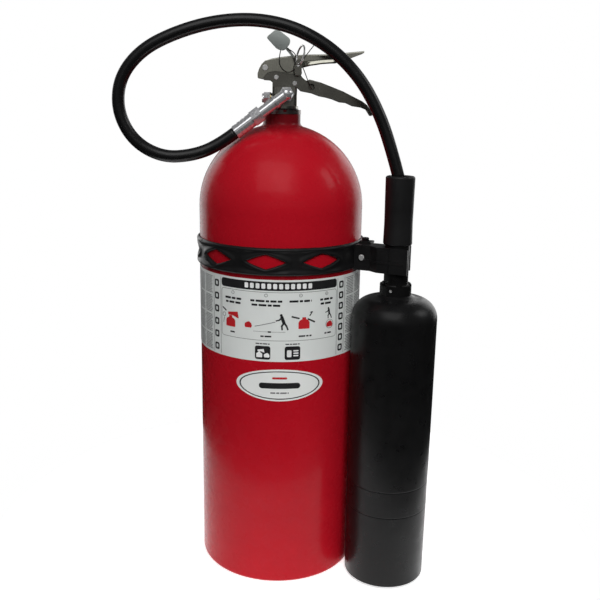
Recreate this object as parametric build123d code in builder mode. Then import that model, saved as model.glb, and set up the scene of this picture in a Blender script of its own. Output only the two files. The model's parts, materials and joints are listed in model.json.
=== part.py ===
"""Carbon dioxide fire extinguisher: aluminium cylinder, squeeze valve, hose and discharge horn.

Millimetres, +Z up. The origin is the centre of the foot ring, on the floor. -Y is the front and
the horn hangs on the +X side, a little to the front.
"""

import os
from math import acos, cos, degrees, pi, radians, sin, tan

from build123d import *

os.makedirs("parts", exist_ok=True)

# Driving dimensions -------------------------------------------------------------------------
CYLINDER_R = 101.6  # 8 inch cylinder
WALL = 10.0
FOOT_INNER_R = 62.0
BASE_HOLLOW = 7.0  # height of the concave base
BASE_CORNER = 5.0
STRAIGHT_TOP = 468.0
DOME_RISE = 100.0
NECK_R = 22.7
NECK_BORE = 14.0
NECK_TOP = 584.5
RING_HEIGHT = 5.0  # bare ring at the top of the neck
RING_INNER_R = NECK_R - 2.2
SIPHON_BOTTOM = 28.0
SIPHON_TOP = 560.0
SIPHON_R = 5.5
SIPHON_BORE_R = 4.2

STEM_X = 3.0
BODY_X = (-12.0, 18.0)  # valve body, left and right
BODY_HALF_Y = 8.9  # upper part, between the handle's side plates
FOOT_HALF_Y = 12.0  # lower part
FOOT_TOP = 603.0
BODY_TOP = 625.4
STEM_BOTTOM = 580.0
STEM_TOP = 642.4
STEM_R = 3.0
PACKING_R = 6.5
PACKING_DEPTH = 4.0
SPRING_Z = (BODY_TOP + 1, 636.5)

SHEET = 1.6  # sheet metal of lever and handle
HANDLE_HALF_Y = 10.6
LEVER_HALF_Y = 12.8
PIVOT = (-20.5, 632.8)  # x, z of the lever's pivot
PIVOT_R = 2.5
SEAL_HOLE = (35.0, 611.5)  # x, z of the hole in the handle's front plate
SEAL_HOLE_R = 4.0
HANDLE_RIVETS = ((-7.3, 622.0), (15.0, 615.5))  # rear and front rivet of the handle
PIN = (18.4, 628.0)  # x, z of the pull pin
PIN_R = 2.0
EYE_Y = -28.2  # the pin's flat eye stands in front of the lever
EYE_HOLE_Z = 636.0
RING_R = 11.0
RING_WIRE_R = 1.1
RING_LEAN = 13.0
RING_YAW = 20.0  # the ring stands a little turned, to the front right
FIT = 0.05  # radial running clearance of pins and shafts

BURST_Z = 598.0
OUTLET_X = 5.0
OUTLET_Y = -40.0  # the outlet tube lies in this plane
OUTLET_Z = 602.6
OUTLET_SLOPE = 37.0
OUTLET_R = 6.6
BOSS_REACH = 18.0  # the outlet boss, from the valve's axis
NUT_SPAN = (37.0, 49.0)  # along the outlet tube
FERRULE_END = 74.45
FERRULE_R = 8.3

HOSE_R = 7.25
HORN_ANGLE = -26.15  # direction of the horn from +X
HORN_DISTANCE = 154.3
HORN_TOP_R = 51.7
HORN_MOUTH_R = 50.5
HORN_WALL = 3.0
HORN_BORE_R = 5.0
HORN_Z = (3.5, 371.0)
HORN_SHOULDER = 25.0
HORN_STEPS = (99.0, 133.0)  # two mould lines round the horn
COLLAR_R = 19.0
COLLAR_TOP = 385.0
HORN_NECK_R = 14.6
GRIP_R = 17.25
GRIP_Z = (431.5, 512.0)
GRIP_BORE = 10.6
GRIP_CORE_R = 11.0  # the neck and the nipple inside the grip
NIPPLE_Z = 480.0
NIPPLE_R = 6.0
GRIP_SEAT_Z = 494.0  # floor of the hose's socket in the grip
SET_SCREW_Z = 378.0
ORIFICE_Z = 352.0

BAND_R = 104.6
BAND_Z = (398.5, 431.0)
WINDOW_PITCH = 37.6
WINDOW_FIRST = 27.8  # from the front, towards +X
WINDOW_COUNT = 8
WINDOW_HALF = (24.0, 8.6)
CLIP_Z = (398.0, 428.5)
CLIP_INNER = 15.0
CLIP_WALL = 2.6
CLIP_REACH = (18.0, 12.0)  # of the clip's front and back plates, beyond the neck's axis
ARM_JOG = (124.0, 135.0)  # the arm's front steps out here, to meet the clip's front plate
ARM_MEETS_CLIP = 5.5  # before the neck's axis
RIB_Z = (409.4, 412.0)  # stiffening rib along the front of arm and clip
RIB_RISE = 0.8
RIB_ENDS = (118.0, 168.0)
COLLAR_NOTCH = (7.0, 6.0, 2.4)  # width, depth inwards, and height
ARM_HALF = 11.0
ARM_BOLT = (111.0, 8.0)  # out along the arm, and to its back
ARM_BOLT_R = 2.5
ARM_NUT = 3.0
FLANGE = 2.6  # the band's end that the bolt holds down on the arm
ARM_SCREW = (113.5, 413.6)  # out along the arm, and height
ARM_SCREW_R = 2.0
CLIP_RIVET = (162.9, 413.0)
CLIP_RIVET_R = 1.5

LABEL_Z = (294.8, 393.8)
LABEL_SPREAD = 100.0  # degrees each side of the front
SKIN = 0.3
BADGE_Z = 265.3
BADGE_SIZE = (104.0, 40.0)

# The hose's route, from the ferrule over the valve to the grip.
HOSE_ROUTE = [
    (-54.5, -40, 557.8),
    (-75.5, -40, 542),
    (-105, -42, 530.5),
    (-141, -43.5, 528),
    (-174, -45, 546.4),
    (-191, -45, 580),
    (-187, -46, 617.5),
    (-161, -47, 648.5),
    (-121, -49, 668),
    (-76, -51, 680.5),
    (-30, -53, 683.5),
    (14, -55, 675),
    (55, -57, 653.5),
    (88, -60, 622),
    (110.5, -63, 584.5),
    (126, -66, 545),
    (137, -68, 508),
]

# Derived places -----------------------------------------------------------------------------
horn_dir = Vector(cos(radians(HORN_ANGLE)), sin(radians(HORN_ANGLE)), 0)
side_dir = Vector(horn_dir.Y, -horn_dir.X, 0)  # to the front of the horn's arm
horn_axis = horn_dir * HORN_DISTANCE
outlet_dir = Vector(-cos(radians(OUTLET_SLOPE)), 0, -sin(radians(OUTLET_SLOPE)))
outlet_corner = Vector(OUTLET_X, OUTLET_Y, OUTLET_Z)


def save(piece, name):
    """Label a finished piece and write its file."""
    piece.part.label = name
    export_step(piece.part, f"parts/{name}.step")


def on_outlet(along):
    """A plane across the outlet tube, that far from its corner."""
    return Plane(origin=outlet_corner + outlet_dir * along, x_dir=(0, 1, 0), z_dir=outlet_dir)


def on_horn(z):
    """A plane across the horn's axis, with X away from the cylinder."""
    return Plane(origin=horn_axis + Vector(0, 0, z), x_dir=horn_dir, z_dir=(0, 0, 1))


def on_arm(z):
    """A plane at that height, with X along the horn's direction from the cylinder's axis."""
    return Plane(origin=(0, 0, z), x_dir=horn_dir, z_dir=(0, 0, 1))


horn_section = Plane(origin=horn_axis, x_dir=horn_dir, z_dir=side_dir)


def facing_side(along, side, z):
    """A plane facing the front of the arm, that far out from the cylinder's axis."""
    place = horn_dir * along + side_dir * side + Vector(0, 0, z)
    return Plane(origin=place, x_dir=horn_dir, z_dir=side_dir)


def facing_front(x, y, z):
    """A plane facing the front, at that place."""
    return Plane(origin=(x, y, z), x_dir=(1, 0, 0), z_dir=(0, -1, 0))


# Cylinder and neck --------------------------------------------------------------------------
INNER_R = CYLINDER_R - WALL
INNER_RISE = DOME_RISE - WALL
INNER_FLOOR = WALL + BASE_HOLLOW
INNER_CORNER = 16.0
dome_end = DOME_RISE * (1 - (NECK_R / CYLINDER_R) ** 2) ** 0.5
neck_shoulder = STRAIGHT_TOP + dome_end
with BuildPart() as cylinder:
    with BuildSketch(Plane.XZ):
        with BuildLine():
            Line((0, BASE_HOLLOW), (FOOT_INNER_R - 20, BASE_HOLLOW))
            Line((FOOT_INNER_R - 20, BASE_HOLLOW), (FOOT_INNER_R, 0))
            Line((FOOT_INNER_R, 0), (CYLINDER_R - BASE_CORNER, 0))
            RadiusArc((CYLINDER_R - BASE_CORNER, 0), (CYLINDER_R, BASE_CORNER), -BASE_CORNER)
            Line((CYLINDER_R, BASE_CORNER), (CYLINDER_R, STRAIGHT_TOP))
            dome = EllipticalCenterArc(
                (0, STRAIGHT_TOP), CYLINDER_R, DOME_RISE, 0, arc_size=degrees(acos(NECK_R / CYLINDER_R)),
            )
            Line(dome @ 1, (NECK_R, NECK_TOP))
            Line((NECK_R, NECK_TOP), (0, NECK_TOP))
            Line((0, NECK_TOP), (0, BASE_HOLLOW))
        make_face()
    revolve(axis=Axis.Z)
    rings = cylinder.edges().filter_by(GeomType.CIRCLE)
    fillet(rings.sort_by(lambda edge: abs(edge.center().Z - neck_shoulder))[0], 5)
    with BuildSketch(Plane.XZ):
        with BuildLine():
            Line((0, INNER_FLOOR), (INNER_R - INNER_CORNER, INNER_FLOOR))
            RadiusArc(
                (INNER_R - INNER_CORNER, INNER_FLOOR), (INNER_R, INNER_FLOOR + INNER_CORNER), -INNER_CORNER,
            )
            Line((INNER_R, INNER_FLOOR + INNER_CORNER), (INNER_R, STRAIGHT_TOP))
            inner = EllipticalCenterArc(
                (0, STRAIGHT_TOP), INNER_R, INNER_RISE, 0, arc_size=degrees(acos(NECK_BORE / INNER_R)),
            )
            Line(inner @ 1, (NECK_BORE, NECK_TOP))
            Line((NECK_BORE, NECK_TOP), (0, NECK_TOP))
            Line((0, NECK_TOP), (0, INNER_FLOOR))
        make_face()
    revolve(axis=Axis.Z, mode=Mode.SUBTRACT)
    with BuildSketch(Plane.XY.offset(NECK_TOP - RING_HEIGHT)):
        Circle(NECK_R + 1)
        Circle(RING_INNER_R, mode=Mode.SUBTRACT)
    extrude(amount=RING_HEIGHT + 1, mode=Mode.SUBTRACT)
save(cylinder, "cylinder")

with BuildPart() as neck_ring:
    with BuildSketch(Plane.XY.offset(NECK_TOP - RING_HEIGHT)):
        Circle(NECK_R + 0.4)
        Circle(RING_INNER_R, mode=Mode.SUBTRACT)
    extrude(amount=RING_HEIGHT)
    with BuildSketch(facing_front(3.5, 0, NECK_TOP)):
        Rectangle(4, 5)
    extrude(amount=NECK_R + 2, mode=Mode.SUBTRACT)
    chamfer(neck_ring.edges().group_by(Axis.Z)[-1].filter_by(GeomType.CIRCLE), 0.4)
save(neck_ring, "neck_ring")

with BuildPart() as neck_oring:
    with BuildSketch(Plane.XY.offset(NECK_TOP)):
        Circle(NECK_R - 2.6)
        Circle(NECK_BORE + 0.4, mode=Mode.SUBTRACT)
    extrude(amount=1.5)
save(neck_oring, "neck_oring")

with BuildPart() as siphon_tube:
    with BuildSketch(Plane.XY.offset(SIPHON_BOTTOM)):
        Circle(SIPHON_R)
        Circle(SIPHON_BORE_R, mode=Mode.SUBTRACT)
    extrude(amount=SIPHON_TOP - SIPHON_BOTTOM)
    with BuildSketch(Plane.XZ):
        with Locations((0, SIPHON_BOTTOM)):
            Rectangle(24, 12, rotation=40)
    extrude(amount=20, both=True, mode=Mode.SUBTRACT)
save(siphon_tube, "siphon_tube")

# Valve body ---------------------------------------------------------------------------------
body_mid = sum(BODY_X) / 2
body_width = BODY_X[1] - BODY_X[0]
SEAT_Z = NECK_TOP + 1.5
INLET_DEPTH = 12.0  # socket that the siphon tube's top seals against
with BuildPart() as valve_body:
    with BuildSketch(Plane.XY.offset(SEAT_Z)):
        Circle(NECK_R - 3.2)
    extrude(amount=3)
    with BuildSketch(Plane.XY.offset(SEAT_Z + 3)):
        with Locations((body_mid, 0)):
            RectangleRounded(body_width, 2 * FOOT_HALF_Y, 5)
    extrude(amount=FOOT_TOP - SEAT_Z - 3)
    with BuildSketch(Plane.XY.offset(FOOT_TOP)):
        with Locations((body_mid, 0)):
            RectangleRounded(body_width, 2 * BODY_HALF_Y, 3)
    extrude(amount=BODY_TOP - FOOT_TOP)
    fillet(valve_body.faces().sort_by(Axis.Z)[-1].edges(), 1.2)
    with BuildSketch(facing_front(OUTLET_X, 0, OUTLET_Z)):
        Circle(7.8)
    extrude(amount=BOSS_REACH)
    with BuildSketch(Plane(origin=(BODY_X[0] + 2, 0, BURST_Z), x_dir=(0, 1, 0), z_dir=(-1, 0, 0))):
        Circle(6)
    extrude(amount=3.5)
    with BuildSketch(Plane.XY.offset(SIPHON_TOP)):
        Circle(NECK_BORE - 0.1)
    extrude(amount=SEAT_Z - SIPHON_TOP)
    with BuildSketch(Plane.XY.offset(SIPHON_TOP)):
        Circle(SIPHON_R + 0.1)
    extrude(amount=INLET_DEPTH, mode=Mode.SUBTRACT)
    with BuildSketch(Plane.XY.offset(SIPHON_TOP + INLET_DEPTH - 1)):
        with Locations((STEM_X, 0)):
            Circle(STEM_R + FIT)
    extrude(amount=BODY_TOP - SIPHON_TOP, mode=Mode.SUBTRACT)
    with BuildSketch(Plane.XY.offset(BODY_TOP - PACKING_DEPTH)):
        with Locations((STEM_X, 0)):
            Circle(PACKING_R)
    extrude(amount=PACKING_DEPTH + 1, mode=Mode.SUBTRACT)
    for x, z in HANDLE_RIVETS:
        with BuildSketch(facing_front(x, 0, z)):
            Circle(PIVOT_R)
        extrude(amount=20, both=True, mode=Mode.SUBTRACT)
save(valve_body, "valve_body")

with BuildPart() as stem_packing:
    with BuildSketch(Plane.XY.offset(BODY_TOP - PACKING_DEPTH)):
        with Locations((STEM_X, 0)):
            Circle(PACKING_R)
            Circle(STEM_R + FIT, mode=Mode.SUBTRACT)
    extrude(amount=PACKING_DEPTH + 1)
    chamfer(stem_packing.edges().group_by(Axis.Z)[-1].sort_by(SortBy.LENGTH)[-1], 0.6)
save(stem_packing, "stem_packing")

with BuildPart() as valve_stem:
    with BuildSketch(Plane.XY.offset(STEM_BOTTOM)):
        with Locations((STEM_X, 0)):
            Circle(STEM_R)
    extrude(amount=STEM_TOP - STEM_BOTTOM)
    fillet(valve_stem.faces().sort_by(Axis.Z)[-1].edges(), 2.2)
save(valve_stem, "valve_stem")

with BuildPart() as stem_washer:
    with BuildSketch(Plane.XY.offset(SPRING_Z[1])):
        with Locations((STEM_X, 0)):
            Circle(6.6)
            Circle(STEM_R, mode=Mode.SUBTRACT)
    extrude(amount=1.4)
save(stem_washer, "stem_washer")

SPRING_WIRE = 0.7
SPRING_TURNS = 4
spring_pitch = (SPRING_Z[1] - SPRING_Z[0] - 2 * SPRING_WIRE - 0.4) / SPRING_TURNS
with BuildPart() as return_spring:
    with BuildLine() as coil:
        Helix(
            pitch=spring_pitch, height=spring_pitch * SPRING_TURNS, radius=5.2,
            center=(STEM_X, 0, SPRING_Z[0] + SPRING_WIRE + 0.2),
        )
    with BuildSketch(Plane(origin=coil.line @ 0, z_dir=coil.line % 0)):
        Circle(SPRING_WIRE)
    sweep()
save(return_spring, "return_spring")

# Burst disc assembly, on the side away from the horn -------------------------------------------
burst_face = BODY_X[0] - 1.5


def on_burst(along):
    """A plane across the burst disc's axis, that far out from the valve body's boss."""
    return Plane(origin=(burst_face - along, 0, BURST_Z), x_dir=(0, 1, 0), z_dir=(-1, 0, 0))


with BuildPart() as burst_washer:
    with BuildSketch(on_burst(0)):
        Circle(7)
        Circle(3, mode=Mode.SUBTRACT)
    extrude(amount=1)
save(burst_washer, "burst_washer")

with BuildPart() as burst_disc:
    with BuildSketch(on_burst(1)):
        Circle(5)
    extrude(amount=0.6)
save(burst_disc, "burst_disc")

with BuildPart() as burst_nut:
    with BuildSketch(on_burst(1)):
        RegularPolygon(7, 6, major_radius=False)
    extrude(amount=7.5)
    with BuildSketch(on_burst(8.5)):
        Circle(5.4)
    extrude(amount=2.4)
    chamfer(burst_nut.faces().sort_by(Axis.X)[0].edges(), 0.6)
    with BuildSketch(on_burst(1)):
        Circle(5)
    extrude(amount=0.6, mode=Mode.SUBTRACT)
    with BuildSketch(on_burst(1.6)):
        Circle(2.6)
    extrude(amount=10, mode=Mode.SUBTRACT)
    with BuildSketch(on_burst(9.6)):
        Rectangle(16, 2)
    extrude(amount=2, mode=Mode.SUBTRACT)
save(burst_nut, "burst_nut")

# Carrying handle and lever --------------------------------------------------------------------
HANDLE_TOP = [
    (24.1, 622.3), (27.7, 619.3), (29.6, 618.7), (32.5, 620.3), (46.2, 617), (60.6, 611.8),
    (73.7, 606.9), (86.9, 600.6), (96.9, 595.9), (103, 591.5), (110.4, 580),
]
HANDLE_BOTTOM = [
    (108, 578.6), (103, 586), (97.2, 588.3), (86.5, 589.7), (78, 593.4), (70, 594.2),
    (61, 597.6), (53, 599.6), (45.2, 600.9), (36, 604.2), (22.4, 606.6), (17, 611.5),
]
HANDLE_REAR = [
    (-11.1, 611.5), (-11.5, 616.4), (-14.7, 618.7), (-22.5, 619.2), (-25, 632.8),
    (-16.2, 635), (-8, 629), (2, 628), (13, 626.5), (20, 628),
]


def on_side_plate(edge, half):
    """Whether an edge lies on the outer face of a side plate, that far from the middle."""
    return abs(abs(edge.center().Y) - half) < 0.01


with BuildPart() as carry_handle:
    with BuildSketch(Plane.XZ):
        Polygon(*HANDLE_TOP, *HANDLE_BOTTOM, *HANDLE_REAR, align=None)
        with Locations(PIVOT):
            Circle(4.5)
        with Locations(PIN):
            Circle(5)
    extrude(amount=HANDLE_HALF_Y, both=True)
    with BuildSketch(Plane.XZ):
        web_under = [(x, z - SHEET - 0.3) for x, z in HANDLE_TOP if x > 31]
        Polygon(
            (-40, 560), (-40, 660), (24.6, 660), (24.6, 618), (31, web_under[0][1] - 1), *web_under[:-1],
            (106.5, 577), (106.5, 560), align=None,
        )
    extrude(amount=HANDLE_HALF_Y - SHEET, both=True, mode=Mode.SUBTRACT)
    with BuildSketch(Plane.XZ):
        with Locations(*HANDLE_RIVETS, PIVOT):
            Circle(PIVOT_R)
        with Locations(PIN):
            Circle(PIN_R + FIT)
    extrude(amount=30, both=True, mode=Mode.SUBTRACT)
    with BuildSketch(facing_front(SEAL_HOLE[0], 0, SEAL_HOLE[1])):
        Circle(SEAL_HOLE_R)
    extrude(amount=30, mode=Mode.SUBTRACT)
    side_edges = carry_handle.edges().filter_by(lambda edge: on_side_plate(edge, HANDLE_HALF_Y))
    top_edges = side_edges.filter_by(lambda edge: 33 < edge.center().X < 100)
    fillet(top_edges.filter_by(lambda edge: edge.center().Z > 636 - 0.5 * edge.center().X), 1.2)
save(carry_handle, "carry_handle")


def rivet(name, place, grip, head_r, head):
    """A round-headed pin across the valve, with a head at each end."""
    with BuildPart() as made:
        with BuildSketch(facing_front(place[0], 0, place[1])):
            Circle(PIVOT_R)
        extrude(amount=grip, both=True)
        for face in made.faces().filter_by(Axis.Y):
            with BuildSketch(Plane(face)):
                Circle(head_r)
            extrude(amount=head)
        rims = made.edges().filter_by(lambda edge: on_side_plate(edge, grip + head))
        fillet(rims, 0.6 * head)
    save(made, name)


rivet("handle_rivet_rear", HANDLE_RIVETS[0], HANDLE_HALF_Y, PIVOT_R + 0.3, 1.0)
rivet("handle_rivet_front", HANDLE_RIVETS[1], HANDLE_HALF_Y, PIVOT_R + 0.3, 1.0)
rivet("lever_pivot_pin", PIVOT, LEVER_HALF_Y + 0.3, PIVOT_R + 1.0, 1.2)

LEVER_TOP = [
    (-29.5, 621.3), (-29.6, 626), (-27.8, 631.5), (-24.9, 636.7), (-20.7, 640.8), (-12.5, 643.4),
    (-1.9, 645.4), (12, 647.2), (27.7, 648.6), (51.3, 649.3), (72.6, 651.2), (97, 653.8),
]
LEVER_BOTTOM = [
    (97, 651.8), (86, 647.6), (79, 644.6), (64.2, 640.2), (51, 639.6), (33.8, 636.9), (23.6, 634.2),
    (21.6, 630.5), (15, 626.6), (8, 626.4), (1, 628.2), (-8.8, 629.2), (-17.3, 627.6), (-21.2, 623.7),
    (-23.6, 620),
]
SLOT_TOP = 640.0
SLOT_FLOOR = 620.0
with BuildPart() as operating_lever:
    with BuildSketch(Plane.XZ):
        Polygon(*LEVER_TOP, *LEVER_BOTTOM, align=None)
    extrude(amount=LEVER_HALF_Y, both=True)
    with BuildSketch(Plane.XZ):
        lever_under = [(x, z - SHEET) for x, z in LEVER_TOP if x > -21]
        Polygon(
            (-40, 600), (-40, 650), (-20.7, 650), *lever_under[:-1], (98, 651.8), (98, 600), align=None,
        )
    extrude(amount=LEVER_HALF_Y - SHEET, both=True, mode=Mode.SUBTRACT)
    with BuildSketch(Plane.XZ):
        with Locations(PIVOT):
            Circle(PIVOT_R + FIT)
        with Locations((PIN[0], (SLOT_TOP + SLOT_FLOOR) / 2)):
            SlotOverall(SLOT_TOP - SLOT_FLOOR, 2 * PIN_R + 1.4, rotation=90)
    extrude(amount=30, both=True, mode=Mode.SUBTRACT)
    side_edges = operating_lever.edges().filter_by(lambda edge: on_side_plate(edge, LEVER_HALF_Y))
    top_edges = side_edges.filter_by(lambda edge: -12 < edge.center().X < 90)
    fillet(top_edges.filter_by(lambda edge: edge.center().Z > 642 + 0.06 * edge.center().X), 1.3)
save(operating_lever, "operating_lever")

# Pull pin, ring and tamper seal ------------------------------------------------------------------
with BuildPart() as pull_pin:
    with BuildSketch(facing_front(PIN[0], 0, PIN[1])):
        Circle(PIN_R)
    extrude(amount=-EYE_Y)
    with BuildSketch(facing_front(PIN[0], 0, PIN[1])):
        Circle(PIN_R)
    extrude(amount=-16)
    chamfer(pull_pin.faces().sort_by(Axis.Y)[-1].edges(), 0.8)
    with BuildSketch(facing_front(PIN[0], EYE_Y + 1, PIN[1])):
        with BuildLine():
            Polyline((-3.6, -4), (3.6, -4), (4.2, 2), (3.2, 14), (-2, 14), (-3.6, 4), (-3.6, -4))
        make_face()
    extrude(amount=2.4)
    with BuildSketch(facing_front(PIN[0], 0, EYE_HOLE_Z)):
        Circle(RING_WIRE_R + 0.6)
    extrude(amount=40, mode=Mode.SUBTRACT)
    fillet(pull_pin.edges().filter_by(Axis.Y).filter_by(lambda edge: edge.center().Y < EYE_Y + 1), 1.0)
save(pull_pin, "pull_pin")

lean = Vector(sin(radians(RING_LEAN)), 0, cos(radians(RING_LEAN)))
eye_centre = Vector(PIN[0], EYE_Y - 0.2, EYE_HOLE_Z)
ring_centre = eye_centre + lean * RING_R
wire_dir = Vector(sin(radians(RING_YAW)), -cos(radians(RING_YAW)), 0)
wire_dir = (wire_dir - lean * wire_dir.dot(lean)).normalized()
with BuildPart() as pull_ring:
    with BuildSketch(Plane(origin=eye_centre, x_dir=lean, z_dir=wire_dir)):
        Circle(RING_WIRE_R)
    revolve(axis=Axis(ring_centre, wire_dir.cross(lean)), revolution_arc=360)
save(pull_ring, "pull_ring")

SEAL_Y = -14.6
STRAND_R = 0.6
TAG_CORNER = 1.6
TAG_STEM = [(7, 658), (15.4, 645.4), (12.6, 643), (2, 654)]
TAG = [(-19.5, 667), (-8.5, 676), (-3.5, 674.6), (9, 665.6), (8.6, 659.8), (1.6, 652), (-6.4, 653.6)]
with BuildPart() as tamper_seal:
    with BuildSketch(Plane.XZ.offset(-SEAL_Y - 0.6)):
        tag_outline = Polygon(*TAG, align=None)
        fillet(tag_outline.vertices(), TAG_CORNER)
        Polygon(*TAG_STEM, align=None)
    extrude(amount=1.2)
    with BuildLine() as strand:
        FilletPolyline(
            (9, SEAL_Y, 650), (14, -16.5, 643), (24, -21, 634), (29, -17, 622), (33, -13.5, 612),
            radius=2,
        )
    with BuildSketch(Plane(origin=strand.line @ 0, z_dir=strand.line % 0)):
        Circle(STRAND_R)
    sweep()
    with BuildLine() as tail:
        FilletPolyline((19.4, -18.9, 636.8), (26, -18.5, 645), (37.5, -17, 661), radius=2)
    with BuildSketch(Plane(origin=tail.line @ 0, z_dir=tail.line % 0)):
        Circle(STRAND_R)
    sweep()
save(tamper_seal, "tamper_seal")

# Outlet, coupling nut and ferrule -----------------------------------------------------------------
with BuildPart() as outlet_elbow:
    with BuildSketch(facing_front(OUTLET_X, -BOSS_REACH, OUTLET_Z)):
        Circle(OUTLET_R)
    extrude(amount=-BOSS_REACH - OUTLET_Y)
    with BuildSketch(on_outlet(0)):
        Circle(OUTLET_R)
    extrude(amount=NUT_SPAN[0])
    with Locations(outlet_corner):
        Sphere(OUTLET_R + 0.6)
    with BuildSketch(facing_front(OUTLET_X, -BOSS_REACH, OUTLET_Z)):
        RegularPolygon(8, 6, major_radius=False)
    extrude(amount=6)
    with BuildSketch(on_outlet(14)):
        Circle(OUTLET_R + 1)
    extrude(amount=3)
save(outlet_elbow, "outlet_elbow")

with BuildPart() as coupling_nut:
    with BuildSketch(on_outlet(NUT_SPAN[0])):
        RegularPolygon(9.2, 6, major_radius=False)
    extrude(amount=NUT_SPAN[1] - NUT_SPAN[0])
    with BuildSketch(on_outlet(NUT_SPAN[0])):
        Circle(10.1)
    extrude(amount=NUT_SPAN[1] - NUT_SPAN[0], mode=Mode.INTERSECT)
save(coupling_nut, "coupling_nut")

with BuildPart() as hose_ferrule:
    with BuildSketch(on_outlet(NUT_SPAN[1])):
        Circle(FERRULE_R)
    extrude(amount=FERRULE_END - NUT_SPAN[1])
    for groove in range(3):
        with BuildSketch(on_outlet(NUT_SPAN[1] + 7 + 5.5 * groove)):
            Circle(FERRULE_R + 1)
            Circle(FERRULE_R - 0.5, mode=Mode.SUBTRACT)
        extrude(amount=2, mode=Mode.SUBTRACT)
save(hose_ferrule, "hose_ferrule")

# Hose ---------------------------------------------------------------------------------------------
route = [Vector(*point) for point in HOSE_ROUTE]
runs = [b - a for a, b in zip(route, route[1:])]
bends = []
for before, after in zip(runs, runs[1:]):
    half_turn = radians(before.get_angle(after)) / 2
    bends.append(0.45 * min(before.length, after.length) / tan(half_turn))
with BuildPart() as hose:
    with BuildLine() as hose_line:
        FilletPolyline(*route, radius=bends)
    with BuildSketch(Plane(origin=hose_line.line @ 0, z_dir=hose_line.line % 0)):
        Circle(HOSE_R)
    sweep()
save(hose, "hose")
hose_length = sum(edge.length for edge in hose_line.edges())
print("hose bend radii", [round(radius, 1) for radius in bends])
print("hose runs", [round(run.length, 1) for run in runs])
print("hose length", round(hose_length, 1))
print("hose volume over section times length", round(hose.part.volume / (pi * HOSE_R**2 * hose_length), 4))

# Horn, neck and grip ------------------------------------------------------------------------------
with BuildPart() as grip:
    with BuildSketch(horn_section):
        with BuildLine():
            Polyline(
                (GRIP_BORE, GRIP_SEAT_Z), (GRIP_BORE, GRIP_Z[1] - 2), (GRIP_BORE + 1.6, GRIP_Z[1]),
                (GRIP_R - 2.5, GRIP_Z[1]),
            )
            RadiusArc((GRIP_R - 2.5, GRIP_Z[1]), (GRIP_R, GRIP_Z[1] - 2.5), 2.5)
            Line((GRIP_R, GRIP_Z[1] - 2.5), (GRIP_R - 0.5, GRIP_Z[0] + 25))
            Line((GRIP_R - 0.5, GRIP_Z[0] + 25), (GRIP_R, GRIP_Z[0] + 2))
            RadiusArc((GRIP_R, GRIP_Z[0] + 2), (GRIP_R - 2, GRIP_Z[0]), 2)
            Polyline(
                (GRIP_R - 2, GRIP_Z[0]), (GRIP_CORE_R, GRIP_Z[0]), (GRIP_CORE_R, NIPPLE_Z + 6),
                (NIPPLE_R, NIPPLE_Z + 6), (NIPPLE_R, GRIP_SEAT_Z), (GRIP_BORE, GRIP_SEAT_Z),
            )
        make_face()
    revolve(axis=Axis(horn_axis, (0, 0, 1)))
save(grip, "grip")

with BuildPart() as grip_nipple:
    with BuildSketch(on_horn(NIPPLE_Z)):
        Circle(NIPPLE_R)
    extrude(amount=16)
    with BuildSketch(on_horn(NIPPLE_Z)):
        Circle(GRIP_CORE_R)
    extrude(amount=6)
    with BuildSketch(on_horn(NIPPLE_Z)):
        Circle(3.5)
    extrude(amount=20, mode=Mode.SUBTRACT)
    chamfer(grip_nipple.edges().group_by(Axis.Z)[-1].sort_by(SortBy.LENGTH)[-1], 0.8)
save(grip_nipple, "grip_nipple")

with BuildPart() as horn_neck:
    with BuildSketch(on_horn(COLLAR_TOP)):
        Circle(HORN_NECK_R)
    extrude(amount=GRIP_Z[0] - COLLAR_TOP)
    with BuildSketch(on_horn(GRIP_Z[0])):
        Circle(GRIP_CORE_R)
    extrude(amount=NIPPLE_Z - GRIP_Z[0])
    with BuildSketch(on_horn(COLLAR_TOP)):
        Circle(HORN_BORE_R)
    extrude(amount=NIPPLE_Z - COLLAR_TOP, mode=Mode.SUBTRACT)
save(horn_neck, "horn_neck")

with BuildPart() as horn_collar:
    with BuildSketch(on_horn(HORN_Z[1])):
        Circle(COLLAR_R)
    extrude(amount=COLLAR_TOP - HORN_Z[1])
    fillet(horn_collar.faces().sort_by(Axis.Z)[-1].edges(), 2)
    with BuildSketch(on_horn(COLLAR_TOP - COLLAR_NOTCH[2])):
        with PolarLocations(COLLAR_R, 6):
            Rectangle(COLLAR_NOTCH[1], COLLAR_NOTCH[0])
    extrude(amount=COLLAR_NOTCH[2], mode=Mode.SUBTRACT)
    with BuildSketch(on_horn(HORN_Z[1])):
        Circle(HORN_BORE_R)
    extrude(amount=20, mode=Mode.SUBTRACT)
    with BuildSketch(facing_side(HORN_DISTANCE, 0, SET_SCREW_Z)):
        Circle(2)
    extrude(amount=30, mode=Mode.SUBTRACT)
save(horn_collar, "horn_collar")

with BuildPart() as horn_set_screw:
    with BuildSketch(facing_side(HORN_DISTANCE, 8, SET_SCREW_Z)):
        Circle(2)
    extrude(amount=10.4)
    with BuildSketch(facing_side(HORN_DISTANCE, 17.4, SET_SCREW_Z)):
        RegularPolygon(1.1, 6)
    extrude(amount=2, mode=Mode.SUBTRACT)
save(horn_set_screw, "horn_set_screw")

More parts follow.
